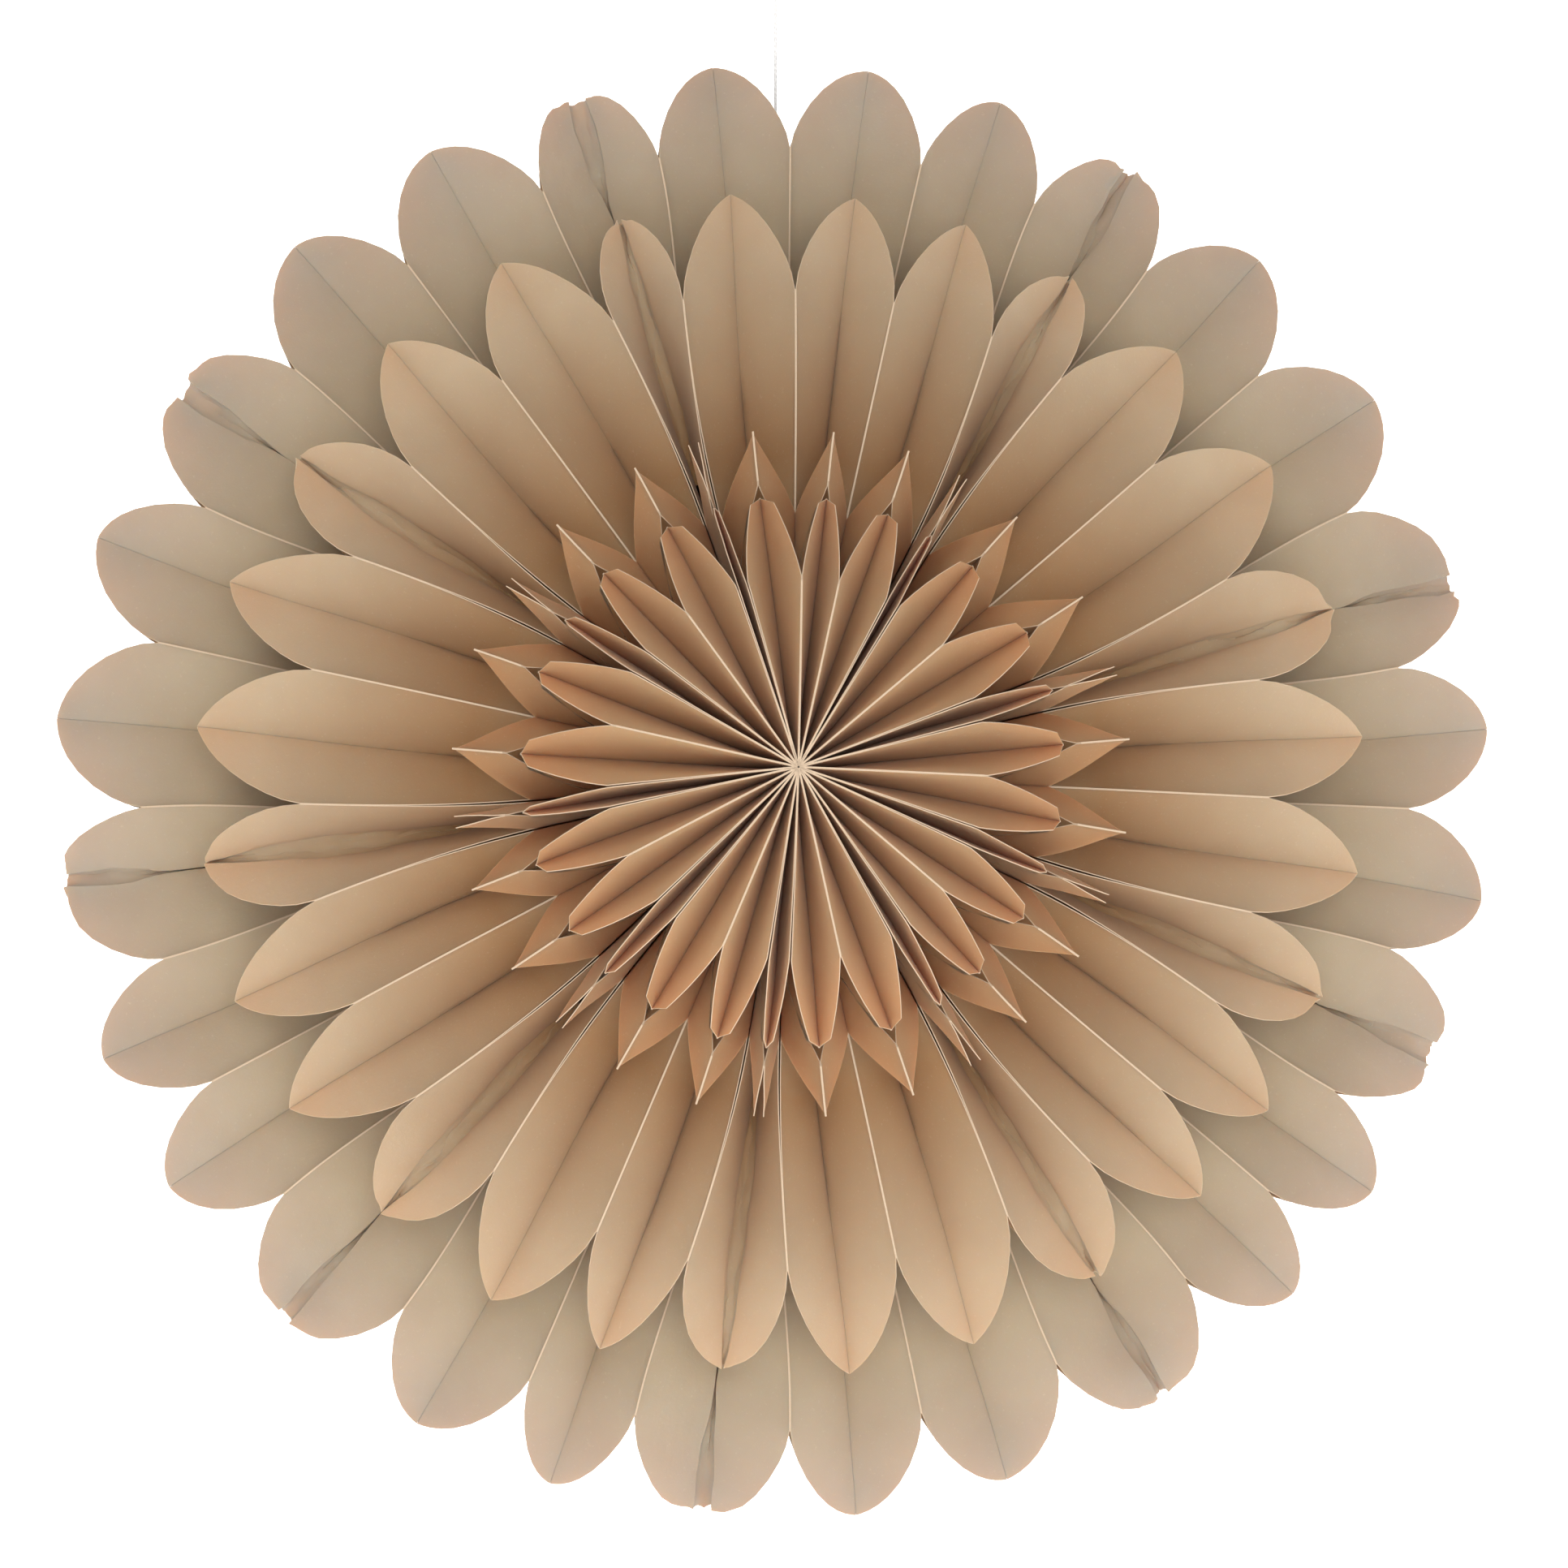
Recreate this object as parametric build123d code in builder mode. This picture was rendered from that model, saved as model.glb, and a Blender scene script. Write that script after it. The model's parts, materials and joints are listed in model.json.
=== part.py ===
"""Hanging paper honeycomb ball: a fan of die-cut paper leaves opened into a full ring.

Millimetres, +Z up. The ball hangs with its spine level along Y and its front towards -Y.
The origin is where a hook bears, inside the top of the hanging loop.

Each leaf is one sheet, creased along straight glue lines that run outwards from the spine.
Glue line 0 is the front edge and the last line is the back edge. A leaf touches the
neighbour on one side at the even lines and the neighbour on the other side at the odd ones,
so the opened ball is a ring of cells. The sections of a leaf are level cuts at a height
above the spine, where the even lines lie on the cell's first side (x = 0) and the odd
lines lie on its middle plane.
"""

from build123d import *
from math import cos, pi, radians, sin, sqrt, tan
import os

# ---- driving dimensions ----

BALL_DIAMETER = 500.0     # across the tips of the outer petals
CELL_COUNT = 28           # petals round the ball, each made of two leaves
PANEL_COUNT = 12          # panels across one leaf, between glue lines
PANEL_SPARE = 0.7         # panel width left over when the outer petals are open
PAPER_THICKNESS = 0.25
GLUE_LINE_GAP = 0.2       # between two leaves where they are bonded
FOOT_SPARE = 1.0          # how far the folded sheet runs past the leaf's foot
TIP_SPARE = 0.5           # and past its tips, before it is cut

# outline of a leaf: heights above the spine, as (glue line, height) below
LEAF_FOOT = 5.0
CENTRE_RIDGE_END = 58.0   # front edge of the centre star
CENTRE_SHOULDER = 84.5
CENTRE_TIP = 86.8
SHOULDER_LINE = 0.67      # where between two glue lines the centre petal turns square
SLIT_WIDTH = 3.5          # cut between the centre star and the tongues behind it
TONGUE_TIP_INNER = 92.5
TONGUE_TIP_OUTER = 108.5
TONGUE_ROOT_OUTER = 83.5
NICK_WIDTH = 2.5          # cut between a tongue and the middle ring's ridge
CUT_DEPTH = 0.12          # how far a cut runs past its glue line, in panels
MIDDLE_NOTCH = 160.0
MIDDLE_TIP = 196.0
MIDDLE_BACK_NOTCH = 152.0
MIDDLE_ROUNDNESS = 0.44
OUTER_RIDGE_START = 156.0
OUTER_PETAL_DEPTH = 31.0  # from the notch between two outer petals to their tips
OUTER_ROUNDNESS = 0.49
PETAL_FULLNESS = 0.65     # 1 for a sine curve, and less swells out sooner from the notch
PETAL_STEPS = 5           # straight runs up each side of a petal

# spine
CORE_CLEARANCE = 0.4
CORE_BORE_RADIUS = 0.9
CORE_RECESS = 5.0         # from the leaves' front and back edges to the core's ends
THREAD_CLEARANCE = 0.1
THREAD_KNOT_RADIUS = 2.0
THREAD_KNOT_LENGTH = 2.6
KNOT_END_SHARE = 0.6      # radius of a knot's ends, as a share of its middle
KNOT_TAPER_SHARE = 0.3    # length of each tapered end, as a share of the knot

# adhesive strips that close the ring
STRIP_THICKNESS = 0.1
STRIP_WIDTH = 5.0
STRIP_START = 12.0
STRIP_MARGIN = 6.0        # from the strip's end to the end of its glue line

# hanging cord
CORD_DIAMETER = 1.2
CORD_FORWARD = 1.3        # cord's centre line in front of the seam's middle glue line
CORD_HOLE_HEIGHT = 198.0
CORD_HOLE_RADIUS = 3.0
CORD_KNOT_RADIUS = 1.7
CORD_KNOT_LENGTH = 3.4
CORD_LENGTH = 98.0
LOOP_RADIUS = 9.0
LOOP_KNOT_LENGTH = 4.0
LOOP_CLEARANCE = 0.05     # between the loop and its knot

# ---- sizes that follow ----

CELL_ANGLE = 360.0 / CELL_COUNT
HALF_CELL = radians(CELL_ANGLE / 2)
TIP_HEIGHT = BALL_DIAMETER / 2 * cos(HALF_CELL)
PANEL_WIDTH = TIP_HEIGHT * tan(HALF_CELL) + PANEL_SPARE
MID_LINE = PANEL_COUNT // 2
OUTER_NOTCH = TIP_HEIGHT - OUTER_PETAL_DEPTH
LEAF_DEPTH = PANEL_COUNT * PANEL_WIDTH
CORD_KNOT_TOP = CORD_HOLE_HEIGHT + CORD_KNOT_LENGTH / 2
CORD_TOP = CORD_KNOT_TOP + CORD_LENGTH
LOOP_CENTRE = CORD_TOP + LOOP_KNOT_LENGTH + LOOP_CLEARANCE + LOOP_RADIUS + CORD_DIAMETER / 2
HANG = LOOP_CENTRE + LOOP_RADIUS - CORD_DIAMETER / 2   # hook to the spine's centre line

SPINE = Plane(origin=(0, 0, -HANG), x_dir=(1, 0, 0), z_dir=(0, 1, 0))
BALL = Location((0, 0, -HANG))


# ---- the fold ----

def line_pitch(height):
    """Distance along Y from one glue line to the next, at a height above the spine."""
    return sqrt(PANEL_WIDTH ** 2 - (height * tan(HALF_CELL)) ** 2)


def on_line(line, height):
    """Point (y, z) on a glue line, or between two, at a height above the spine."""
    return ((line - MID_LINE) * line_pitch(height), height)


def petal_edge(notch_line, tip_line, notch, tip, roundness):
    """Points up a petal's edge, from its notch on one glue line to its tip on the next.

    A roundness of 0.5 ends level at the tip, and less leaves a point there.
    """
    points = []
    for step in range(1, PETAL_STEPS + 1):
        share = step / PETAL_STEPS
        rise = (sin(share * roundness * pi) / sin(roundness * pi)) ** PETAL_FULLNESS
        line = notch_line + (tip_line - notch_line) * share
        points.append(on_line(line, notch + (tip - notch) * rise))
    return points


# ---- one leaf ----

def fold_section(height):
    """Level cut through a creased leaf, as a closed list of (x, y) points."""
    pitch = line_pitch(height)
    width = height * tan(HALF_CELL)
    room = width - 1.5 * GLUE_LINE_GAP       # a leaf stays this thick at most, near the spine
    shift = min(PAPER_THICKNESS * PANEL_WIDTH / pitch, room)
    near = []
    for line in range(PANEL_COUNT + 1):
        x = GLUE_LINE_GAP / 2 if line % 2 == 0 else width - GLUE_LINE_GAP / 2 - shift
        near.append((x, (line - MID_LINE) * pitch))
    far = [(x + shift, y) for x, y in reversed(near)]
    return near + far


def front_outline():
    """Outline of a leaf's front half, from its foot to the middle glue line."""
    slit_root = CENTRE_RIDGE_END + SLIT_WIDTH
    points = [
        on_line(0, LEAF_FOOT),
        on_line(0, CENTRE_RIDGE_END),
        on_line(SHOULDER_LINE, CENTRE_SHOULDER),
        on_line(1, CENTRE_TIP),
        on_line(2, CENTRE_RIDGE_END),
        on_line(2 + CUT_DEPTH, CENTRE_RIDGE_END + SLIT_WIDTH / 2),
        on_line(2, slit_root),
        on_line(1, TONGUE_TIP_INNER),
        on_line(1, TONGUE_TIP_OUTER),
        on_line(2, TONGUE_ROOT_OUTER),
        on_line(2 + CUT_DEPTH, TONGUE_ROOT_OUTER + NICK_WIDTH / 2),
        on_line(2, TONGUE_ROOT_OUTER + NICK_WIDTH),
        on_line(2, (TONGUE_ROOT_OUTER + MIDDLE_NOTCH) / 2),
        on_line(2, MIDDLE_NOTCH),
    ]
    points += petal_edge(2, 3, MIDDLE_NOTCH, MIDDLE_TIP, MIDDLE_ROUNDNESS)
    points += [
        on_line(4, MIDDLE_BACK_NOTCH),
        on_line(4, OUTER_RIDGE_START),
        on_line(4, (OUTER_RIDGE_START + OUTER_NOTCH) / 2),
        on_line(4, OUTER_NOTCH),
    ]
    points += petal_edge(4, 5, OUTER_NOTCH, TIP_HEIGHT, OUTER_ROUNDNESS)
    points += reversed(petal_edge(6, 5, OUTER_NOTCH, TIP_HEIGHT, OUTER_ROUNDNESS)[:-1])
    points.append(on_line(MID_LINE, OUTER_NOTCH))
    return points


def leaf_outline():
    """Closed outline of a leaf in the upright YZ plane: its front half and the mirror."""
    front = front_outline()
    back = [(-y, z) for y, z in reversed(front[:-1])]
    return front + back


FOLD_SHARES = (0.3, 0.55, 0.75, 0.88, 0.95)   # level cuts, closer where the folds steepen
FOLD_HEIGHTS = [LEAF_FOOT - FOOT_SPARE]
FOLD_HEIGHTS += [TIP_HEIGHT * share for share in FOLD_SHARES]
FOLD_HEIGHTS.append(TIP_HEIGHT + TIP_SPARE)

with BuildPart() as folded_sheet:
    for height in FOLD_HEIGHTS:
        with BuildSketch(Plane.XY.offset(height)):
            with BuildLine():
                Polyline(*fold_section(height), close=True)
            make_face()
    loft(ruled=True)

with BuildPart() as left_leaf:
    add(folded_sheet.part)
    with BuildSketch(Plane.YZ) as outline:
        with BuildLine():
            Polyline(*leaf_outline(), close=True)
        make_face()
    extrude(amount=2 * PANEL_WIDTH, both=True, mode=Mode.INTERSECT)

# ---- the cells ----

CELL_MIDDLE = Plane(
    origin=(0, 0, 0), x_dir=(0, 1, 0), z_dir=(cos(HALF_CELL), 0, -sin(HALF_CELL))
)

with BuildPart() as right_leaf:
    mirror(left_leaf.part, about=CELL_MIDDLE)

with BuildPart() as cord_hole:
    with BuildSketch(Plane.YZ):
        with Locations((-CORD_FORWARD / 2, CORD_HOLE_HEIGHT)):
            Circle(CORD_HOLE_RADIUS)
    extrude(amount=CORD_HOLE_RADIUS * 2, both=True)


def write(piece, name):
    """Label a finished piece and write it as one STEP file."""
    piece.part.label = name
    export_step(piece.part, f"parts/{name}.step")


os.makedirs("parts", exist_ok=True)

for number in range(1, CELL_COUNT + 1):
    turn = Location((0, 0, -HANG), (0, (number - 1) * CELL_ANGLE, 0))
    with BuildPart() as cell:
        with Locations(turn):
            add(left_leaf.part)
            add(right_leaf.part, clean=False)
        if number in (1, CELL_COUNT):
            with Locations(BALL):
                add(cord_hole.part, mode=Mode.SUBTRACT)
    write(cell, f"cell_{number:02d}")

# ---- the spine ----

core_length = LEAF_DEPTH - 2 * CORE_RECESS
core_radius = LEAF_FOOT - CORE_CLEARANCE

with BuildPart() as spine_core:
    with BuildSketch(SPINE.offset(-core_length / 2)):
        Circle(core_radius)
        Circle(CORE_BORE_RADIUS, mode=Mode.SUBTRACT)
    extrude(amount=core_length)
write(spine_core, "spine_core")

with BuildPart() as binding_thread:
    with BuildSketch(SPINE.offset(-core_length / 2)):
        Circle(CORE_BORE_RADIUS - THREAD_CLEARANCE)
    extrude(amount=core_length)
write(binding_thread, "binding_thread")


def knot(plane, radius, length):
    """Tight barrel-shaped knot with flat ends, standing on a plane."""
    end = radius * KNOT_END_SHARE
    taper = length * KNOT_TAPER_SHARE
    with BuildPart() as tied:
        with BuildSketch(Plane(origin=plane.origin, x_dir=plane.x_dir, z_dir=-plane.y_dir)):
            with BuildLine():
                Polyline(
                    (0, 0), (end, 0), (radius, taper), (radius, length - taper),
                    (end, length), (0, length), close=True,
                )
            make_face()
        revolve(axis=Axis(plane.origin, plane.z_dir))
    return tied


for end, side in (("front", -1), ("back", 1)):
    seat = Plane(
        origin=(0, side * core_length / 2, -HANG), x_dir=(1, 0, 0), z_dir=(0, side, 0)
    )
    write(knot(seat, THREAD_KNOT_RADIUS, THREAD_KNOT_LENGTH), f"binding_knot_{end}")

# ---- strips that close the seam between the last cell and the first ----

STRIP_ENDS = {
    2: CENTRE_RIDGE_END - STRIP_MARGIN,
    4: MIDDLE_BACK_NOTCH - STRIP_MARGIN,
    6: CORD_HOLE_HEIGHT - CORD_HOLE_RADIUS - STRIP_MARGIN,
    8: MIDDLE_BACK_NOTCH - STRIP_MARGIN,
    10: CENTRE_RIDGE_END - STRIP_MARGIN,
}

STRIP_SHARES = (0, 0.4, 0.75, 1)   # corners up a strip, which bends with its glue line

for line, top in STRIP_ENDS.items():
    heights = [STRIP_START + (top - STRIP_START) * share for share in STRIP_SHARES]
    middle = [on_line(line, height) for height in heights]
    up = [(y - STRIP_WIDTH / 2, z - HANG) for y, z in middle]
    down = [(y + STRIP_WIDTH / 2, z - HANG) for y, z in reversed(middle)]
    with BuildPart() as strip:
        with BuildSketch(Plane.YZ):
            with BuildLine():
                Polyline(*up, *down, close=True)
            make_face()
        extrude(amount=STRIP_THICKNESS / 2, both=True)
    write(strip, f"seam_strip_{line:02d}")

# ---- the hanging cord ----

CORD_LINE = Plane(origin=(0, -CORD_FORWARD, -HANG), x_dir=(1, 0, 0), z_dir=(0, 0, 1))

write(
    knot(CORD_LINE.offset(CORD_KNOT_TOP - CORD_KNOT_LENGTH), CORD_KNOT_RADIUS, CORD_KNOT_LENGTH),
    "cord_knot",
)

with BuildPart() as hanging_cord:
    with BuildSketch(CORD_LINE.offset(CORD_KNOT_TOP)):
        Circle(CORD_DIAMETER / 2)
    extrude(amount=CORD_LENGTH)
write(hanging_cord, "hanging_cord")

write(knot(CORD_LINE.offset(CORD_TOP), CORD_KNOT_RADIUS, LOOP_KNOT_LENGTH), "loop_knot")

with BuildPart() as hanging_loop:
    with BuildSketch(Plane.XY.offset(LOOP_CENTRE - HANG)):
        with Locations((LOOP_RADIUS, -CORD_FORWARD)):
            Circle(CORD_DIAMETER / 2)
    revolve(axis=Axis((0, -CORD_FORWARD, LOOP_CENTRE - HANG), (0, 1, 0)))
write(hanging_loop, "hanging_loop")

print(f"panel width {PANEL_WIDTH:.2f}, leaf depth {LEAF_DEPTH:.1f}, hook to spine {HANG:.1f}")
print(f"cord {CORD_LENGTH:.0f} long, straight, no arcs")
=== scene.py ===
import json
from math import cos, pi, radians, sin, tan

import bmesh
import bpy
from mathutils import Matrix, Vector, noise


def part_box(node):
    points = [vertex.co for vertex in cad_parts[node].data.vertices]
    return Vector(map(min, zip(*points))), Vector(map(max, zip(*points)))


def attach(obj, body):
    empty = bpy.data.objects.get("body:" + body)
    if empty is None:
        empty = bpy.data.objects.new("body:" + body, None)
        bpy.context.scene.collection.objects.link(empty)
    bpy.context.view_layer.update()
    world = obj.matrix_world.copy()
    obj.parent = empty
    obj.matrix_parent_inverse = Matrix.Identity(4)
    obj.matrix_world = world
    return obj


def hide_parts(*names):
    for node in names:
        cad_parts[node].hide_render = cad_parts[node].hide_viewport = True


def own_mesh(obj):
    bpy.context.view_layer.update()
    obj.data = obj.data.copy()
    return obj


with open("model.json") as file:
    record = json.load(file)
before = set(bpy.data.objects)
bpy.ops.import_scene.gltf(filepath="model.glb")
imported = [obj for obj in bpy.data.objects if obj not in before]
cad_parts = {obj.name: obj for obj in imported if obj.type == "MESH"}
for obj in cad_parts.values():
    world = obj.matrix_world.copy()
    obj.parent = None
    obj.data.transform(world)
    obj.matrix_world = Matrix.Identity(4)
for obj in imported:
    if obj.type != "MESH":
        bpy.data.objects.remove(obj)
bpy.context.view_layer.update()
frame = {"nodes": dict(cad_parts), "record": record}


# ======================================================================
# The cut sheet.
# Every leaf is die-cut from one flat sheet of thick uncoated paper. Its long sides
# run out from the spine, and its edge is cut into three tiers of petals, alike
# front and back. Thirteen glue lines divide it into twelve panels.
# ======================================================================

cell_names = sorted(name for name in frame["nodes"] if name.startswith("cell_"))
CELL_COUNT = len(cell_names)
CELL_ANGLE = 2 * pi / CELL_COUNT
HALF_CELL = CELL_ANGLE / 2
core_low, core_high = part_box("spine_core")
centre = (core_low + core_high) / 2
leaf_low, leaf_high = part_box(cell_names[0])

PANEL_COUNT = 12
PANEL_WIDTH = (leaf_high.y - leaf_low.y) / PANEL_COUNT
MID_LINE = PANEL_COUNT / 2
TIP_HEIGHT = leaf_high.z - centre.z
LEAF_FOOT = 0.0046        # where the leaves are bound onto the core
FRONT_FOOT = 0.0003       # in front of the core they run in to its axis
FRONT_FOOT_AT = 0.2       # panels from the front edge to the end of the core

# heights of the cut edge above the spine
CENTRE_NOTCH = 0.058
CENTRE_SHOULDER = 0.0845
SHOULDER_AT = 0.67
CENTRE_TIP = 0.0868
TONGUE_ROOT = (0.0615, 0.0835)
TONGUE_TIP = (0.0925, 0.1085)
MIDDLE_NOTCH = 0.160
MIDDLE_TIP = 0.196
MIDDLE_BACK = 0.152
MIDDLE_ROUND = 0.39       # roundness of the middle petals' tips, as in petal_edge
OUTER_NOTCH = TIP_HEIGHT - 0.031
TIP_NICK = 0.0012         # dip where the two halves of a petal meet
RIM_CURL = 0.45           # at the rim: 0 flat panels, 1 panels curved like an S
MIDDLE_CURL = RIM_CURL * MIDDLE_TIP / TIP_HEIGHT

GLUED = 0.045             # share of a panel that is glued flat beside each line
COLUMN_SHARES = (0, GLUED, 0.11, 0.2, 0.32, 0.45, 0.57, SHOULDER_AT, 0.77, 0.87, 1 - GLUED, 1)
ROW_HEIGHT = 0.0052       # quads along a panel


def blend(a, b, share):
    return a + (b - a) * share


def front_foot(share):
    """Lower edge of the first panel, which closes the centre in front of the core."""
    return blend(FRONT_FOOT, LEAF_FOOT, min(share / FRONT_FOOT_AT, 1))


def centre_edge(share):
    """Height of the centre star's cut edge, from its notch (0) to its tip (1)."""
    if share < SHOULDER_AT:
        return blend(CENTRE_NOTCH, CENTRE_SHOULDER, share / SHOULDER_AT)
    return blend(CENTRE_SHOULDER, CENTRE_TIP, (share - SHOULDER_AT) / (1 - SHOULDER_AT))


def spread_across(share, curl):
    """How far across its half of the cell a point of a folded panel comes."""
    straight = min(max((share - GLUED) / (1 - 2 * GLUED), 0), 1)
    return blend(straight, straight * straight * (3 - 2 * straight), curl)


def petal_edge(notch, tip, roundness, curl, fullness=0.65):
    """Height of a rounded petal's edge as a function of the share from notch to tip.

    A roundness of 0.5 ends level at the tip, and less leaves a point there.
    """
    def height(share):
        turn = spread_across(share, curl) * roundness * pi
        rise = (sin(turn) / sin(roundness * pi)) ** fullness
        nick = TIP_NICK if share == 1 else 0
        return blend(notch, tip, rise) - nick
    return height


def between(ends):
    """A straight edge between two heights."""
    return lambda share: blend(*ends, share)


def sheet_patches():
    """Front half of the sheet as (notch line, tip line, lower edge, upper edge)."""
    middle = petal_edge(MIDDLE_NOTCH, MIDDLE_TIP, MIDDLE_ROUND, MIDDLE_CURL)
    middle_back = petal_edge(MIDDLE_BACK, MIDDLE_TIP, MIDDLE_ROUND, MIDDLE_CURL)
    outer = petal_edge(OUTER_NOTCH, TIP_HEIGHT, 0.5, RIM_CURL)
    patches = [
        (0, 1, front_foot, centre_edge),
        (2, 1, between((LEAF_FOOT, LEAF_FOOT)), centre_edge),
        (2, 1, between((TONGUE_ROOT[0], TONGUE_TIP[0])), between((TONGUE_ROOT[1], TONGUE_TIP[1]))),
    ]
    seams = [between((height, height))
             for height in (LEAF_FOOT, CENTRE_NOTCH, *TONGUE_ROOT, MIDDLE_BACK)]
    for notch_line, tip_line, edge in ((2, 3, middle), (4, 3, middle_back),
                                       (4, 5, outer), (6, 5, outer)):
        patches += [(notch_line, tip_line, low, high)
                    for low, high in zip(seams, seams[1:] + [edge])]
    return patches


def grid_of(shape, columns, place):
    """Adds a grid of quads: columns of points that place() sets in the flat sheet."""
    grid = [[shape.verts.new(place(column, point)) for point in points]
            for column, points in columns]
    for left, right in zip(grid, grid[1:]):
        for row in range(len(left) - 1):
            shape.faces.new((left[row], right[row], right[row + 1], left[row + 1]))


def rows_between(low, high, rows):
    return [blend(low, high, row / rows) for row in range(rows + 1)]


def flat_sheet():
    """The die-cut sheet laid flat: x across the glue lines, y up from the spine."""
    shape = bmesh.new()
    for mirrored in (False, True):
        for notch_line, tip_line, low, high in sheet_patches():
            rows = max(2, round((high(0.5) - low(0.5)) / ROW_HEIGHT))
            columns = []
            for share in COLUMN_SHARES:
                line = blend(notch_line, tip_line, share)
                line = PANEL_COUNT - line if mirrored else line
                columns.append((line * PANEL_WIDTH, rows_between(low(share), high(share), rows)))
            grid_of(shape, columns, lambda x, y: (x, y, 0))
    bmesh.ops.remove_doubles(shape, verts=shape.verts, dist=1e-5)
    bmesh.ops.dissolve_degenerate(shape, edges=shape.edges, dist=1e-6)
    up = Vector((0, 0, 1))
    bmesh.ops.reverse_faces(shape, faces=[f for f in shape.faces if f.normal.dot(up) < 0])
    return mesh_of(shape, "flat_sheet")


def mesh_of(shape, name):
    mesh = bpy.data.meshes.new(name)
    shape.to_mesh(mesh)
    shape.free()
    return mesh


# A joint's pleats, as (glue line, lowest and highest point): each bridges the gap between
# the two leaves' creases, and is laid out on its line with z from 0, left, to 1, right.
PLEATS = [(3, 0.100, MIDDLE_TIP), (5, 0.150, TIP_HEIGHT),
          (7, 0.150, TIP_HEIGHT), (9, 0.100, MIDDLE_TIP)]
PLEAT_COLUMNS = 8
PLEAT_ROW = 0.0026


def flat_pleats():
    """The pleats of a joint, before they are folded in between two leaves."""
    shape = bmesh.new()
    for line, low, high in PLEATS:
        rows = rows_between(low, high - TIP_NICK, round((high - low) / PLEAT_ROW))
        columns = [(column / PLEAT_COLUMNS, rows) for column in range(PLEAT_COLUMNS + 1)]
        grid_of(shape, columns, lambda z, y: (line * PANEL_WIDTH, y, z))
    return mesh_of(shape, "flat_pleats")


# ======================================================================
# The folded cell.
# Two leaves make one cell: each runs zigzag between its own outer side and the
# cell's middle, where the two are glued. The tree below folds the flat sheet
# twice, once for each side, and adds the waviness and wrinkles of real paper.
# ======================================================================

class Wire:
    """One number inside a node tree, so that a formula reads as a formula."""

    def __init__(self, tree, socket):
        self.tree = tree
        self.socket = socket

    def join(self, operation, *others):
        node = self.tree.nodes.new("ShaderNodeMath")
        node.operation = operation
        for socket, value in zip(node.inputs, (self, *others)):
            if isinstance(value, Wire):
                self.tree.links.new(value.socket, socket)
            else:
                socket.default_value = value
        return Wire(self.tree, node.outputs[0])

    def __add__(self, other):
        return self.join("ADD", other)

    def __sub__(self, other):
        return self.join("SUBTRACT", other)

    def __mul__(self, other):
        return self.join("MULTIPLY", other)

    def __truediv__(self, other):
        return self.join("DIVIDE", other)

    def less_from(self, number):
        """number - self"""
        return (self * -1) + number

    def ramp(self, low, high, rise="SMOOTHSTEP"):
        """0 below low, 1 above high, and a smooth rise between."""
        node = self.tree.nodes.new("ShaderNodeMapRange")
        node.interpolation_type = rise
        self.tree.links.new(self.socket, node.inputs["Value"])
        node.inputs["From Min"].default_value = low
        node.inputs["From Max"].default_value = high
        return Wire(self.tree, node.outputs["Result"])


def combine(tree, x, y, z):
    node = tree.nodes.new("ShaderNodeCombineXYZ")
    for socket, value in zip(node.inputs, (x, y, z)):
        if isinstance(value, Wire):
            tree.links.new(value.socket, socket)
        else:
            socket.default_value = value
    return node.outputs[0]


def noise_at(tree, vector, scale, detail=2.0):
    """Signed noise, about -0.5 to 0.5 on each of three channels."""
    node = tree.nodes.new("ShaderNodeTexNoise")
    tree.links.new(vector, node.inputs["Vector"])
    node.inputs["Scale"].default_value = scale
    node.inputs["Detail"].default_value = detail
    split = tree.nodes.new("ShaderNodeSeparateXYZ")
    tree.links.new(node.outputs["Color"], split.inputs[0])
    return [Wire(tree, out) - 0.5 for out in split.outputs]


FOLD_INPUTS = {
    "First Side": 0.0,       # radians clockwise from the top
    "Second Side": 0.2,
    "Crease Lean": 0.0,      # radians the middle crease leans at the rim
    "Crease Gap": 0.0,       # metres each leaf stands off the middle
    "First Gap": 0.0,        # metres a leaf stands off its outer side, near the centre
    "Second Gap": 0.0,
    "Curl": RIM_CURL,
    "First Bend": 0.0,       # radians the sides turn towards each other near the centre
    "Second Bend": 0.0,
    "Waviness": 0.0015,
    "Wrinkles": 0.0008,
    "Tip Wrinkles": 0.0,
    "Ragged": 0.0,
    "Seed": 0.0,
}
SHEET_THICKNESS = 0.0003
GLUE_GAP = SHEET_THICKNESS / 2
WAVE_SCALE = 9.0             # waves per metre
WRINKLE_SCALE = 26.0
CRUMPLE_SCALE = 48.0
RAGGED_SCALE = 120.0
TALLER = 0.006               # the ball hangs a little taller than it is wide
BEND_FROM = 0.3              # shares of the way to the rim, where the sides' bend
BEND_TO = 0.85               # begins to fade and where it is gone
SLIT_LINES = 3.0             # a joint's sides part in front of this glue line only
FREE_FROM = 0.06             # share of the way to the rim where the sheets come free
FREE_AT = 0.3                # of the binding, and where they stand off in full
SLIT_FADES = (0.38, 0.55)    # shares of the way to the rim over which a slit closes
BELLY = (0.38, 0.8)          # shares between which a joint's creases stand off most
BELLY_RIM = 0.93             # and where they stand off in full again, towards the rim
TIPS = (0.6, 0.9)            # shares over which wrinkles and tears reach their full size
PLEAT_SCALE = 70.0
PLEAT_CRUMPLE = 0.006        # how far a pleat's wrinkles stand out
PLEAT_SAG = 0.002            # how far a pleat bows in


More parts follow.
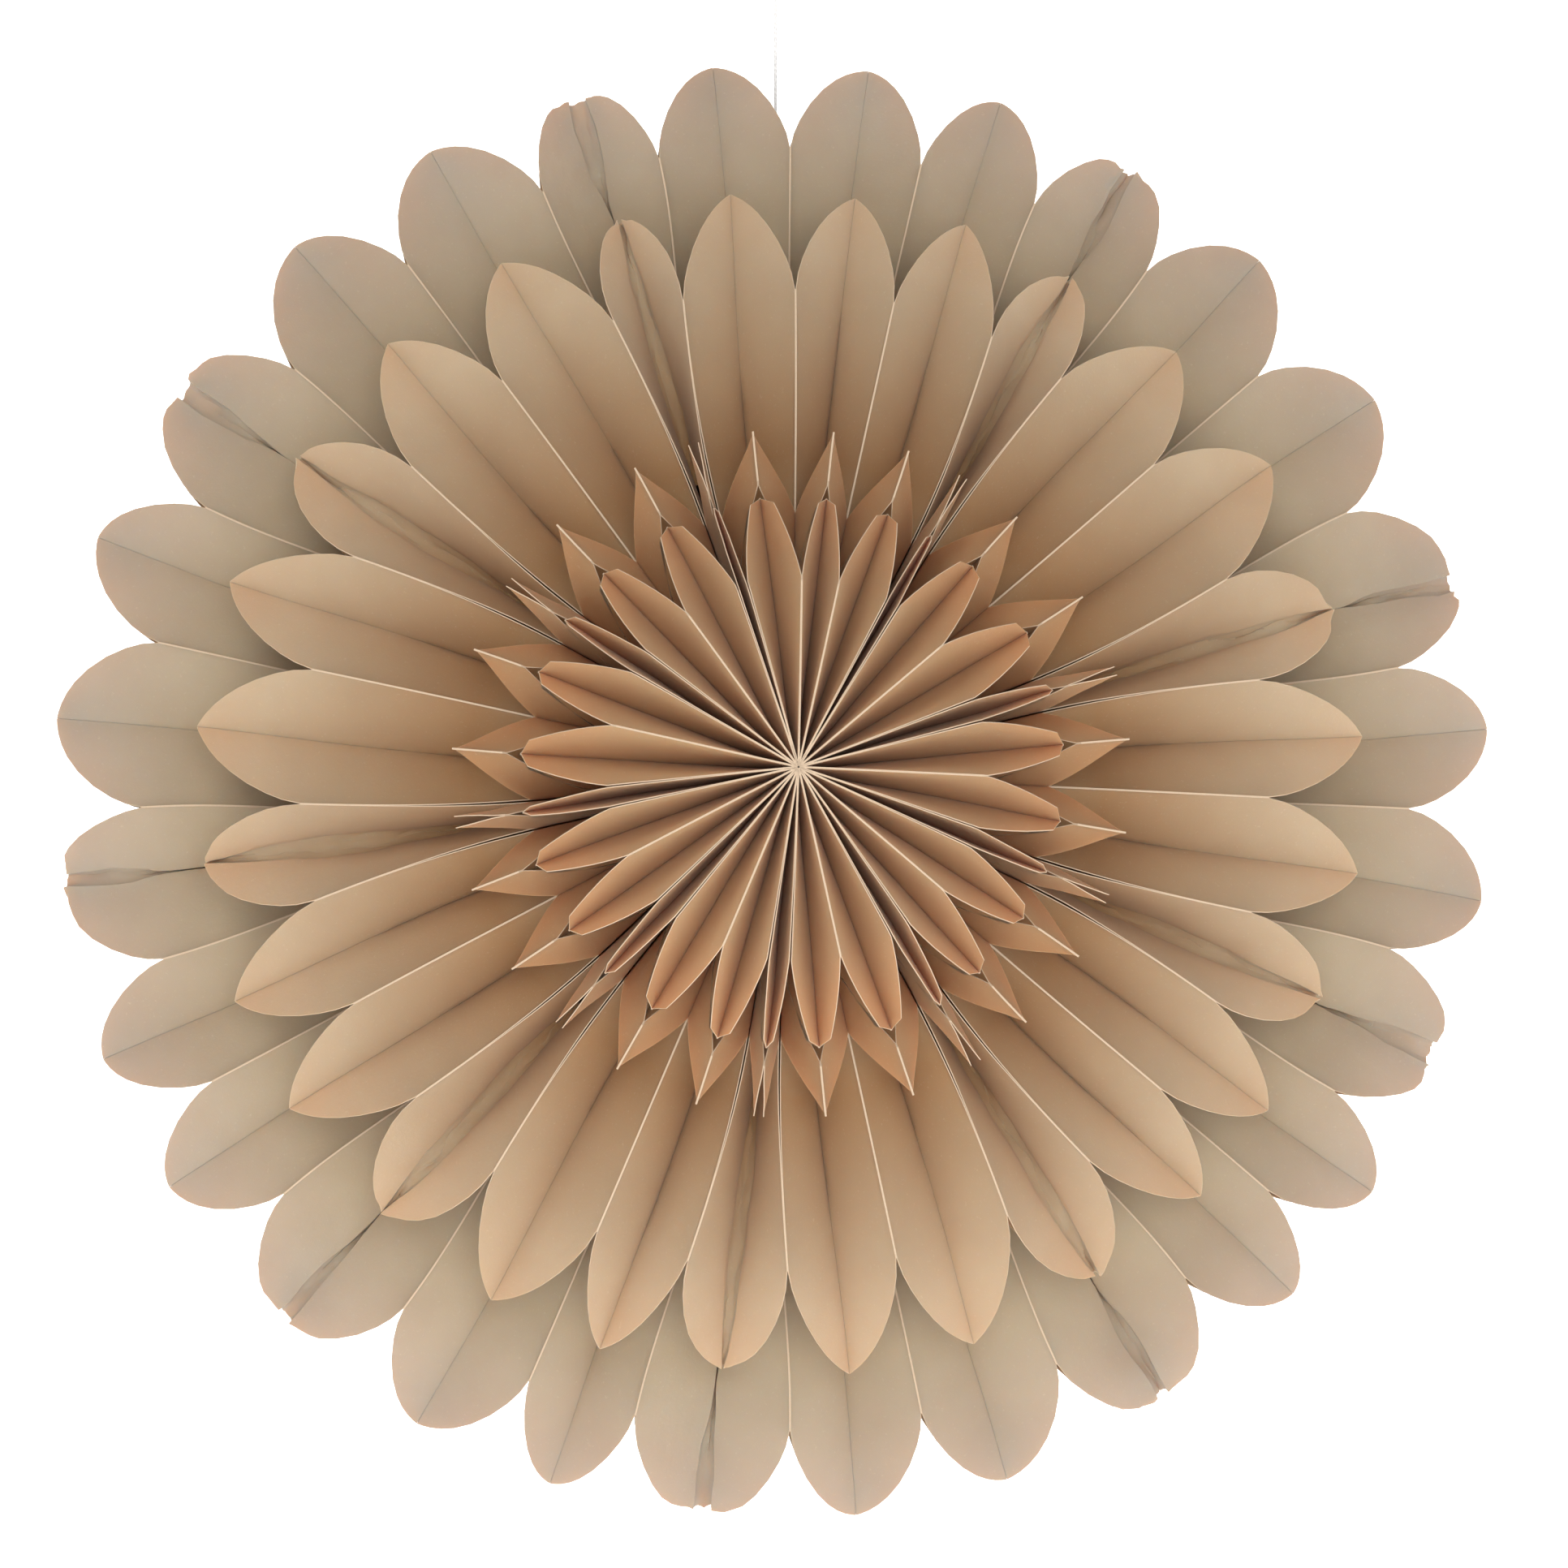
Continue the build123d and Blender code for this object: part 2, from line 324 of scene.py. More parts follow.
def leaf_place(tree, value, side):
    """Where the left (1) or right (-1) leaf of a cell takes a point of the flat sheet.

    Returns x, y and z, and the shares across a panel and out to the rim.
    """
    position = tree.nodes.new("GeometryNodeInputPosition").outputs[0]
    split = tree.nodes.new("ShaderNodeSeparateXYZ")
    tree.links.new(position, split.inputs[0])
    line = Wire(tree, split.outputs[0]) / PANEL_WIDTH
    height = Wire(tree, split.outputs[1])
    rim = height / TIP_HEIGHT

    # zigzag: 0 on the even lines, at the cell's side, and 1 on the odd ones, at its middle
    away = line.join("PINGPONG", 1.0)
    straight = away.ramp(GLUED, 1 - GLUED, "LINEAR")
    curved = away.ramp(GLUED, 1 - GLUED)
    across = straight + (curved - straight) * (value["Curl"] * rim)
    slant = height * tan(HALF_CELL)
    pitch = (slant * slant).less_from(PANEL_WIDTH ** 2).join("SQRT")
    part = line.join("FRACT")
    glued_flat = part - part.ramp(GLUED, 1 - GLUED, "LINEAR")
    y = (line - MID_LINE) * pitch + glued_flat * pitch.less_from(PANEL_WIDTH)

    # wrinkles fade out at the cell's sides, so that neighbours still meet there
    loose = across * (across * -0.5 + 1.5)
    near_tip = rim.ramp(*TIPS)
    both = combine(tree, line * PANEL_WIDTH, height, value["Seed"])
    own = combine(tree, line * PANEL_WIDTH, height, value["Seed"] + 0.4 * side)
    small = noise_at(tree, both, WRINKLE_SCALE)
    crumple = noise_at(tree, own, CRUMPLE_SCALE, detail=1.0)
    torn = noise_at(tree, own, RAGGED_SCALE)
    swell = value["Wrinkles"] * loose
    crush = value["Tip Wrinkles"] * near_tip * across.ramp(0.15, 0.7)

    # where the point lies round the spine and away from it
    bend = rim.ramp(BEND_FROM, BEND_TO).less_from(1.0)
    first = value["First Side"] + value["First Bend"] * bend
    second = value["Second Side"] + value["Second Bend"] * bend
    own_side = first if side > 0 else second
    middle = (first + second) * 0.5 + value["Crease Lean"] * rim * rim
    angle = own_side + (middle - own_side) * across
    reach = height / (away * HALF_CELL).join("COSINE")
    reach = reach * ((angle * 2).join("COSINE") * TALLER + 1.0)
    reach = reach - value["Ragged"] * (torn[0] + 0.3) * near_tip * away.ramp(0.5, 0.95)
    opened = rim.ramp(FREE_FROM, FREE_AT)
    in_front = line.ramp(SLIT_LINES - 0.6, SLIT_LINES).less_from(1.0)
    doubled = opened * in_front * rim.ramp(*SLIT_FADES).less_from(1.0)
    side_gap = value["First Gap"] if side > 0 else value["Second Gap"]
    stand_off = side_gap * doubled * (small[1] * 1.6 + 1.0) + GLUE_GAP
    belly = rim.ramp(*BELLY, "LINEAR")
    belly = belly * belly.less_from(1.0) * 4.0 + rim.ramp(BELLY[1], BELLY_RIM)
    crease_gap = value["Crease Gap"] * belly * (small[2] * 1.8 + 1.0) + GLUE_GAP
    shift = (stand_off * across.less_from(1.0) - crease_gap * across) * side
    shift = shift + (small[0] * swell + crumple[0] * crush)

    sine, cosine = angle.join("SINE"), angle.join("COSINE")
    x = reach * sine + shift * cosine
    z = reach * cosine - shift * sine
    y = y + small[1] * swell + crumple[1] * crush
    return x, y, z, away, rim


def move_points(tree, geometry, x, y, z, strength):
    """Moves the sheet's points, with slow waves that are shared by the whole ball."""
    wave = noise_at(tree, combine(tree, x, y, z), WAVE_SCALE, detail=0.0)
    out = combine(tree, x + wave[0] * strength + centre.x,
                  y + wave[1] * strength + centre.y,
                  z + wave[2] * strength + centre.z)
    move = tree.nodes.new("GeometryNodeSetPosition")
    tree.links.new(geometry, move.inputs["Geometry"])
    tree.links.new(out, move.inputs["Position"])
    return move.outputs[0]


def mark(tree, geometry, marks):
    """Stores numbers on the flat sheet's points, for the paper's finish."""
    for name, wire in marks.items():
        store = tree.nodes.new("GeometryNodeStoreNamedAttribute")
        store.data_type = "FLOAT"
        store.inputs["Name"].default_value = name
        tree.links.new(geometry, store.inputs["Geometry"])
        tree.links.new(wire.socket, store.inputs["Value"])
        geometry = store.outputs[0]
    return geometry


def two_leaves(tree, value, sheet):
    """Folds the flat sheet twice, into the left and the right leaf of a cell."""
    join = tree.nodes.new("GeometryNodeJoinGeometry")
    for side in (1, -1):
        x, y, z, away, rim = leaf_place(tree, value, side)
        # masks for the painted highlights: 'ridge' along the side lines, 'crease' along the middle
        # lines
        ridge = away.ramp(0.0, GLUED, "LINEAR").less_from(1.0)
        leaf = mark(tree, sheet, {"crease": away.ramp(0.9, 1.0), "ridge": ridge, "rim": rim})
        leaf = move_points(tree, leaf, x, y, z, value["Waviness"] * rim)
        if side < 0:
            flip = tree.nodes.new("GeometryNodeFlipFaces")
            tree.links.new(leaf, flip.inputs["Mesh"])
            leaf = flip.outputs[0]
        tree.links.new(leaf, join.inputs[0])
    return join.outputs[0]


def joint_pleats(tree, value, sheet):
    """Bridges the gap between a joint's two creases with a crumpled pleat."""
    left, right = leaf_place(tree, value, 1), leaf_place(tree, value, -1)
    position = tree.nodes.new("GeometryNodeInputPosition").outputs[0]
    split = tree.nodes.new("ShaderNodeSeparateXYZ")
    tree.links.new(position, split.inputs[0])
    line, height, share = (Wire(tree, out) for out in split.outputs)
    line = line / PANEL_WIDTH
    x, y, z = (a + (b - a) * share for a, b in zip(left[:3], right[:3]))
    rim = left[4]
    slack = share * share.less_from(1.0) * 4.0
    flat = combine(tree, share * 0.02, height, line + value["Seed"])
    crumple = noise_at(tree, flat, PLEAT_SCALE)
    inwards = line.less_from(MID_LINE).join("SIGN")
    depth = crumple[0] * PLEAT_CRUMPLE + PLEAT_SAG
    y = y + inwards * slack * depth
    x = x + crumple[1] * slack * PLEAT_CRUMPLE
    z = z + crumple[2] * slack * PLEAT_CRUMPLE
    pleats = mark(tree, sheet, {"rim": rim})
    return move_points(tree, pleats, x, y, z, value["Waviness"] * rim)


def fold_tree(name, fold):
    """Geometry Nodes tree that folds a flat sheet into its place in a cell."""
    tree = bpy.data.node_groups.new(name, "GeometryNodeTree")
    tree.interface.new_socket("Geometry", in_out="INPUT", socket_type="NodeSocketGeometry")
    tree.interface.new_socket("Geometry", in_out="OUTPUT", socket_type="NodeSocketGeometry")
    for key, default in FOLD_INPUTS.items():
        tree.interface.new_socket(key, in_out="INPUT", socket_type="NodeSocketFloat"
                                  ).default_value = default
    source = tree.nodes.new("NodeGroupInput")
    value = {key: Wire(tree, source.outputs[key]) for key in FOLD_INPUTS}
    folded = fold(tree, value, source.outputs["Geometry"])
    realize = tree.nodes.new("GeometryNodeRealizeInstances")
    finish = tree.nodes.new("GeometryNodeSetMaterial")
    finish.inputs["Material"].default_value = paper
    sink = tree.nodes.new("NodeGroupOutput")
    tree.links.new(folded, realize.inputs[0])
    tree.links.new(realize.outputs[0], finish.inputs["Geometry"])
    tree.links.new(finish.outputs[0], sink.inputs[0])
    return tree


def set_input(modifier, name, value):
    """Sets a Geometry Nodes modifier's input by the name of its socket."""
    for item in modifier.node_group.interface.items_tree:
        if item.item_type == "SOCKET" and item.in_out == "INPUT" and item.name == name:
            modifier[item.identifier] = value


# ----------------------------------------------------------------------
# The paper: thick, matt, with fine fibres and faint clouding. Its colour carries painted
# light and shade: warm bounced light near the spine, painted shade on the feet of the
# middle ring, paler and greyer painted light towards the rim. Folds and cut edges carry a paler
# painted highlight.
# ----------------------------------------------------------------------

CORE_PAINTED_LIGHT_PALE = (0.65, 0.355, 0.17)      # near the spine: painted light, paler and warmer to lift the shade of the deep valleys
CORE_PAINTED_LIGHT_WARM = (0.60, 0.32, 0.15)
INNER_PAINTED_BOUNCE_PALE = (0.465, 0.27, 0.136)    # the tips of the centre star: painted warm light bounced between the sheets
INNER_PAINTED_BOUNCE_WARM = (0.42, 0.24, 0.119)
DEEP_PAINTED_SHADE_PALE = (0.385, 0.205, 0.092)    # painted shade on the feet of the middle ring
DEEP_PAINTED_SHADE_WARM = (0.345, 0.18, 0.08)
PETAL_PAINTED_SHADE_PALE = (0.475, 0.345, 0.234)   # the body of the petals: warm painted shade, towards their notches
PETAL_PAINTED_SHADE_WARM = (0.437, 0.313, 0.207)
OUTER_PAINTED_LIGHT_PALE = (0.405, 0.322, 0.257)   # paler and greyer towards the rim: painted light on the open petals
OUTER_PAINTED_LIGHT_WARM = (0.368, 0.29, 0.228)
CORE_ENDS = (0.05, 0.27)             # shares of the way to the rim over which each
INNER_ENDS = (0.3, 0.42)             # zone's colour gives way to the next
DEEP_ENDS = (0.42, 0.7)
PETAL_ENDS = (0.78, 0.97)
# painted highlight: cut edges coloured paler than the faces
EDGE_HIGHLIGHT = (0.62, 0.475, 0.335)
EDGE_HIGHLIGHT_DIM = (0.53, 0.39, 0.265)
RIDGE_HIGHLIGHT = (0.62, 0.47, 0.33)    # painted highlight along the folds that stand out
# pale fibre flecks, and the painted highlight along the middle creases
FLECK_AND_CREASE_HIGHLIGHT = (0.66, 0.53, 0.39)
SUNK_LIGHT = (1.0, 0.5, 0.28)        # how far light of each colour spreads in the sheet
SUNK_REACH = 0.0025
PAPER_ROUGHNESS = 0.78


def shader(name, roughness):
    """A material's tree, its Principled shader and a lookup of Object coordinates."""
    material = bpy.data.materials.new(name)
    material.use_nodes = True
    nodes = material.node_tree.nodes
    surface = nodes["Principled BSDF"]
    surface.inputs["Roughness"].default_value = roughness
    place = nodes.new("ShaderNodeTexCoord").outputs["Object"]
    return material, material.node_tree, surface, place


def texture(tree, place, scale, detail, roughness=0.5, stretch=None):
    """Noise on the Object coordinates, optionally stretched along an axis."""
    if stretch:
        mapping = tree.nodes.new("ShaderNodeMapping")
        mapping.inputs["Scale"].default_value = stretch
        tree.links.new(place, mapping.inputs["Vector"])
        place = mapping.outputs[0]
    node = tree.nodes.new("ShaderNodeTexNoise")
    node.inputs["Scale"].default_value = scale
    node.inputs["Detail"].default_value = detail
    node.inputs["Roughness"].default_value = roughness
    tree.links.new(place, node.inputs["Vector"])
    return node.outputs["Fac"]


def mix_colour(tree, factor, a, b):
    """A colour mixed from a to b, each a colour or a socket."""
    node = tree.nodes.new("ShaderNodeMix")
    node.data_type = "RGBA"
    tree.links.new(factor, node.inputs["Factor"])
    for socket, colour in ((node.inputs["A"], a), (node.inputs["B"], b)):
        if isinstance(colour, tuple):
            socket.default_value = (*colour, 1.0)
        else:
            tree.links.new(colour, socket)
    return node.outputs["Result"]


def spread(tree, value, low, high, floor=0.0, ceiling=1.0):
    """Maps a number's range low..high to floor..ceiling, and clamps it."""
    node = tree.nodes.new("ShaderNodeMapRange")
    for name, number in (("From Min", low), ("From Max", high),
                         ("To Min", floor), ("To Max", ceiling)):
        node.inputs[name].default_value = number
    tree.links.new(value, node.inputs["Value"])
    return node.outputs["Result"]


def bump(tree, surface, height, strength, distance):
    node = tree.nodes.new("ShaderNodeBump")
    node.inputs["Strength"].default_value = strength
    node.inputs["Distance"].default_value = distance
    tree.links.new(height, node.inputs["Height"])
    tree.links.new(node.outputs["Normal"], surface.inputs["Normal"])


def attribute(tree, name):
    node = tree.nodes.new("ShaderNodeAttribute")
    node.attribute_name = name
    return node.outputs["Fac"]


def leaf_paper():
    material, tree, surface, place = shader("leaf_paper", PAPER_ROUGHNESS)
    rim = attribute(tree, "rim")
    clouds = spread(tree, texture(tree, place, 22, 4), 0.35, 0.65)
    fibres = texture(tree, place, 900, 3, 0.7)
    core = mix_colour(tree, clouds, CORE_PAINTED_LIGHT_PALE, CORE_PAINTED_LIGHT_WARM)
    inner = mix_colour(tree, clouds, INNER_PAINTED_BOUNCE_PALE, INNER_PAINTED_BOUNCE_WARM)
    deep_shade = mix_colour(tree, clouds, DEEP_PAINTED_SHADE_PALE, DEEP_PAINTED_SHADE_WARM)
    petal = mix_colour(tree, clouds, PETAL_PAINTED_SHADE_PALE, PETAL_PAINTED_SHADE_WARM)
    outer = mix_colour(tree, clouds, OUTER_PAINTED_LIGHT_PALE, OUTER_PAINTED_LIGHT_WARM)
    # painted light and shade, zone by zone out to the rim: lifted core, bounce-lit star, shaded
    # feet, pale rim
    colour = mix_colour(tree, spread(tree, rim, *CORE_ENDS), core, inner)
    colour = mix_colour(tree, spread(tree, rim, *INNER_ENDS), colour, deep_shade)
    colour = mix_colour(tree, spread(tree, rim, *DEEP_ENDS), colour, petal)
    colour = mix_colour(tree, spread(tree, rim, *PETAL_ENDS), colour, outer)
    flecks = spread(tree, fibres, 0.62, 0.78, 0.0, 0.3)
    colour = mix_colour(tree, flecks, colour, FLECK_AND_CREASE_HIGHLIGHT)
    # painted highlight along the middle creases
    crease_highlight = spread(tree, attribute(tree, "crease"), 0.6, 1.0, 0.0, 0.5)
    colour = mix_colour(tree, crease_highlight, colour, FLECK_AND_CREASE_HIGHLIGHT)
    # painted highlight along the ridges that stand out
    ridge = spread(tree, attribute(tree, "ridge"), 0.4, 1.0, 0.0, 0.6)
    colour = mix_colour(tree, ridge, colour, RIDGE_HIGHLIGHT)
    tree.links.new(colour, surface.inputs["Base Color"])
    bump(tree, surface, fibres, 0.12, 0.0004)
    surface.inputs["Specular IOR Level"].default_value = 0.25
    surface.inputs["Sheen Weight"].default_value = 0.08
    surface.inputs["Subsurface Weight"].default_value = 0.7
    surface.inputs["Subsurface Radius"].default_value = SUNK_LIGHT
    surface.inputs["Subsurface Scale"].default_value = SUNK_REACH
    return material


def cut_edge():
    material, tree, surface, place = shader("cut_edge", PAPER_ROUGHNESS)
    fibres = texture(tree, place, 1400, 2)
    # painted highlight: the cut edge is paler than the faces, mottled by its fibres
    tree.links.new(mix_colour(tree, fibres, EDGE_HIGHLIGHT, EDGE_HIGHLIGHT_DIM),
                   surface.inputs["Base Color"])
    bump(tree, surface, fibres, 0.2, 0.0003)
    return material


# ----------------------------------------------------------------------
# The ring of cells. The fan is glued up from pads, and each pad's joint falls in
# every third cell: that cell is squashed, with loose creases and a torn tip.
# ----------------------------------------------------------------------

PAD_CELLS = 3
SIDE_LEAN = (1, 0, -2, -3, -2, 0, 2, 2, 2, 3, 1, -1, 0, 0,     # degrees each side stands
             -1, 0, -3, -3, -1, -2, -3, -2, 0, 0, 2, 3, 4, 2)  # off its regular place
PINCH = radians(3.6)         # how far a joint's sides turn in near the centre
PINCH_SPREAD = 0.4           # share by which that differs from joint to joint
LOOSE_TURN = radians(2)      # scale of the small random turns of the other sides
CREASE_DRIFT = radians(1.6)  # how far a cell's middle leans at the rim at most
JOINT_DRIFT = radians(3.0)
SHARP_FOLD = radians(32)     # a fold steeper than this shades as a crease


def cell_side(number):
    """Angle of a cell's first side, clockwise from the top, in the uneven ring."""
    lean = SIDE_LEAN[(number - 1) % CELL_COUNT]
    return (number - 1) * CELL_ANGLE + radians(lean)


def is_joint(number):
    return number % PAD_CELLS == 0 and 1 <= number <= CELL_COUNT


def side_bend(number):
    """How far a cell's first side turns near the centre, where the joints stay pinched."""
    uneven = 1 + PINCH_SPREAD * noise.noise(Vector((number * 3.1, 5.3, 0.0)))
    if is_joint(number):
        return PINCH * uneven
    if is_joint(number - 1):
        return -PINCH * uneven
    return LOOSE_TURN * (uneven - 1)


def cell_settings(number):
    """Fold inputs of one cell."""
    drift = noise.noise(Vector((number * 2.3, 9.7, 0.0)))
    settings = {
        "First Side": cell_side(number),
        "Second Side": cell_side(number + 1),
        "First Bend": side_bend(number),
        "Second Bend": side_bend(number % CELL_COUNT + 1),
        "Crease Lean": drift * CREASE_DRIFT,
        "Seed": number * 3.7,
    }
    if is_joint(number):
        settings.update({
            "Crease Gap": 0.0028,
            "First Gap": 0.0005,
            "Second Gap": 0.0005,
            "Wrinkles": 0.0025,
            "Tip Wrinkles": 0.004,
            "Ragged": 0.009,
            "Crease Lean": drift * JOINT_DRIFT,
        })
    return settings


def folded(number, sheet, tree):
    """One folded, thickened mesh of a cell."""
    piece = bpy.data.objects.new(f"petals_{number:02d}", sheet.copy())
    bpy.context.scene.collection.objects.link(piece)
    fold = piece.modifiers.new("fold", "NODES")
    fold.node_group = tree
    for key, value in cell_settings(number).items():
        set_input(fold, key, value)
    wall = piece.modifiers.new("wall", "SOLIDIFY")
    wall.thickness = SHEET_THICKNESS
    wall.offset = 0
    wall.use_even_offset = False
    wall.material_offset_rim = 1
    mesh = bpy.data.meshes.new_from_object(
        piece.evaluated_get(bpy.context.evaluated_depsgraph_get()))
    bpy.data.objects.remove(piece)
    return mesh


def finished_cell(number):
    """A cell's two leaves, and the pleats between them if it is a joint, as one piece."""
    shape = bmesh.new()
    shape.from_mesh(folded(number, sheet, leaf_tree))
    if is_joint(number):
        shape.from_mesh(folded(number, pleats, pleat_tree))
    mesh = mesh_of(shape, f"petals_{number:02d}")
    mesh.materials.append(paper)
    mesh.materials.append(paper_edge)
    for polygon in mesh.polygons:
        polygon.use_smooth = True
    mesh.set_sharp_from_angle(angle=SHARP_FOLD)
    piece = bpy.data.objects.new(mesh.name, mesh)
    bpy.context.scene.collection.objects.link(piece)
    return piece


def body_of_node(node):
    return next(body for body, nodes in frame["record"]["behaviour"]["bodies"].items()
                if node in nodes)


paper = leaf_paper()
paper_edge = cut_edge()
sheet = flat_sheet()
pleats = flat_pleats()
for flat in (sheet, pleats):
    flat.materials.append(paper)
    flat.materials.append(paper_edge)
leaf_tree = fold_tree("fold_leaves", two_leaves)
pleat_tree = fold_tree("fold_pleats", joint_pleats)
for number, name in enumerate(cell_names, 1):
    petals = finished_cell(number)
    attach(petals, body_of_node(name))
    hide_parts(name)
    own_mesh(petals)


# ======================================================================
# The spine.
# The leaves are bound along one edge onto a thin wound-card core, with a thread
# pulled through it and knotted at both ends. It is all but hidden by the leaves.
# ======================================================================

CARD_COLOUR = (0.34, 0.25, 0.17)
CARD_DARK = (0.26, 0.185, 0.12)
THREAD_COLOUR = (0.62, 0.53, 0.42)
THREAD_DARK = (0.45, 0.37, 0.28)


def wound_card():
    """Card wound round the spine's axis, so its layers show as fine bands along Y."""
    material, tree, surface, place = shader("wound_card", 0.85)
    bands = texture(tree, place, 300, 3, stretch=(1.0, 0.15, 1.0))
    tree.links.new(mix_colour(tree, bands, CARD_COLOUR, CARD_DARK),
                   surface.inputs["Base Color"])
    bump(tree, surface, bands, 0.3, 0.0003)
    return material


def spun_fibre(name, light, dark, turns_per_metre):
    """Twisted thread or cord: fine slanting bands and a little fuzz."""
    material, tree, surface, place = shader(name, 0.8)
    wave = tree.nodes.new("ShaderNodeTexWave")
    wave.wave_type = "BANDS"
    wave.bands_direction = "DIAGONAL"
    wave.inputs["Scale"].default_value = turns_per_metre
    wave.inputs["Distortion"].default_value = 1.5
    tree.links.new(place, wave.inputs["Vector"])
    tree.links.new(mix_colour(tree, wave.outputs["Fac"], dark, light),
                   surface.inputs["Base Color"])
    bump(tree, surface, wave.outputs["Fac"], 0.4, 0.0002)
    surface.inputs["Sheen Weight"].default_value = 0.3
    return material


def give_material(name, material):
    """Gives a carried-over node its finish."""
    slots = frame["nodes"][name].data.materials
    slots.clear()
    slots.append(material)


thread = spun_fibre("binding_thread_fibre", THREAD_COLOUR, THREAD_DARK, 450)
give_material("spine_core", wound_card())
for name in ("binding_thread", "binding_knot_front", "binding_knot_back"):
    give_material(name, thread)


# ======================================================================
# The seam strips.
# Thin adhesive strips on the first leaf close the ring along five glue lines.
# ======================================================================

ADHESIVE_COLOUR = (0.80, 0.72, 0.58)
ADHESIVE_DULL = (0.72, 0.62, 0.48)


def adhesive():
    """Slightly glossy, cloudy adhesive film."""
    material, tree, surface, place = shader("adhesive_film", 0.42)
    clouds = texture(tree, place, 160, 3)
    tree.links.new(mix_colour(tree, clouds, ADHESIVE_COLOUR, ADHESIVE_DULL),
                   surface.inputs["Base Color"])
    bump(tree, surface, clouds, 0.25, 0.0002)
    return material


film = adhesive()
for name in frame["nodes"]:
    if name.startswith("seam_strip_"):
        give_material(name, film)


# ======================================================================
# The hanging cord.
# A white three-strand cotton cord knotted through the seam, pulled straight up
# by the ball's weight, and tied into a small loop for the hook.
# ======================================================================

CORD_WHITE = (0.94, 0.94, 0.93)
CORD_SHADE = (0.84, 0.83, 0.81)
STRAND_COUNT = 3
STRAND_TURN = 0.0065          # length of cord in which a strand goes round once
STRAND_SIDES = 6
STRAND_STEP = 0.0006
KNOT_STEPS = 72
KNOT_SIDES = 10

cord_low, cord_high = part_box("hanging_cord")
CORD_DIAMETER = cord_high.x - cord_low.x
KNOT_CORD_RADIUS = CORD_DIAMETER * 0.42      # pulled tight, so a little thinner
STRAND_RADIUS = CORD_DIAMETER * 0.27
STRAND_ORBIT = CORD_DIAMETER / 2 - STRAND_RADIUS
cord_x = (cord_low.x + cord_high.x) / 2
cord_y = (cord_low.y + cord_high.y) / 2


def heading(path, index, closed):
    """Direction of a line of points at one of them."""
    last = len(path) - 1
    if closed:
        ahead = path[0 if index == last else index + 1] - path[index - 1]
    else:
        ahead = path[min(index + 1, last)] - path[max(index - 1, 0)]
    return ahead.normalized()


def tube(shape, path, radius, closed=False, sides=STRAND_SIDES):
    """Adds a round tube along a list of points to a bmesh."""
    rings = []
    side = Vector((0, 1, 0))
    for index, point in enumerate(path):
        ahead = heading(path, index, closed)
        side = (side - ahead * side.dot(ahead)).normalized()
        up = ahead.cross(side)
        rings.append([shape.verts.new(point + side * (radius * cos(2 * pi * k / sides))
                                      + up * (radius * sin(2 * pi * k / sides)))
                      for k in range(sides)])
    pairs = list(zip(rings, rings[1:]))
    if closed:
        pairs.append((rings[-1], rings[0]))
    for first, second in pairs:
        for k in range(sides):
            ring_next = (k + 1) % sides
            shape.faces.new((first[k], first[ring_next], second[ring_next], second[k]))
    if not closed:
        shape.faces.new(rings[0][::-1])
        shape.faces.new(rings[-1])


def strands_along(shape, path, closed=False):
    """Adds the cord's twisted strands round a line of points."""
    walked = [0.0]
    for a, b in zip(path, path[1:]):
        walked.append(walked[-1] + (b - a).length)
    turns = walked[-1] / STRAND_TURN
    if closed:
        turns = round(turns)
    for strand in range(STRAND_COUNT):
        line = []
        for index, point in enumerate(path):
            ahead = heading(path, index, closed)
            side = Vector((0, 1, 0)) if abs(ahead.y) < 0.9 else Vector((1, 0, 0))
            side = (side - ahead * side.dot(ahead)).normalized()
            turn = 2 * pi * (strand / STRAND_COUNT + turns * walked[index] / walked[-1])
            line.append(point + (side * cos(turn) + ahead.cross(side) * sin(turn))
                        * STRAND_ORBIT)
        tube(shape, line, STRAND_RADIUS, closed)


def piece_from(shape, name, material):
    """Turns a bmesh into a smooth finished piece."""
    bmesh.ops.recalc_face_normals(shape, faces=shape.faces)
    mesh = mesh_of(shape, name)
    mesh.materials.append(material)
    for polygon in mesh.polygons:
        polygon.use_smooth = True
    piece = bpy.data.objects.new(name, mesh)
    bpy.context.scene.collection.objects.link(piece)
    return piece


def cord_route():
    """The cord's own line, read from a smooth curve through its points."""
    points = [Vector((cord_x, cord_y, blend(cord_low.z, cord_high.z, share)))
              for share in (0, 0.5, 1)]
    curve = bpy.data.curves.new("cord_line", "CURVE")
    curve.dimensions = "3D"
    spline = curve.splines.new("NURBS")
    spline.points.add(len(points) - 1)
    for control, point in zip(spline.points, points):
        control.co = (*point, 1.0)
    spline.order_u = 3
    spline.use_endpoint_u = True
    spline.resolution_u = round((cord_high.z - cord_low.z) / STRAND_STEP / 2)
    carrier = bpy.data.objects.new("cord_line", curve)
    bpy.context.scene.collection.objects.link(carrier)
    mesh = bpy.data.meshes.new_from_object(
        carrier.evaluated_get(bpy.context.evaluated_depsgraph_get()))
    route = [vertex.co.copy() for vertex in mesh.vertices]
    bpy.data.objects.remove(carrier)
    return route


def knot_piece(name, node):
    """A tight overhand knot that fills the node's box: a closed trefoil of cord."""
    low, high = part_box(node)
    middle, half = (low + high) / 2, (high - low) / 2
    path = []
    for step in range(KNOT_STEPS):
        t = 2 * pi * step / KNOT_STEPS
        path.append(middle + Vector((
            (sin(t) + 2 * sin(2 * t)) / 3 * (half.x - KNOT_CORD_RADIUS),
            -sin(3 * t) * (half.y - CORD_DIAMETER * 0.5),
            (cos(t) - 2 * cos(2 * t)) / 3 * (half.z - KNOT_CORD_RADIUS))))
    shape = bmesh.new()
    tube(shape, path, KNOT_CORD_RADIUS, closed=True, sides=KNOT_SIDES)
    return piece_from(shape, name, cotton)


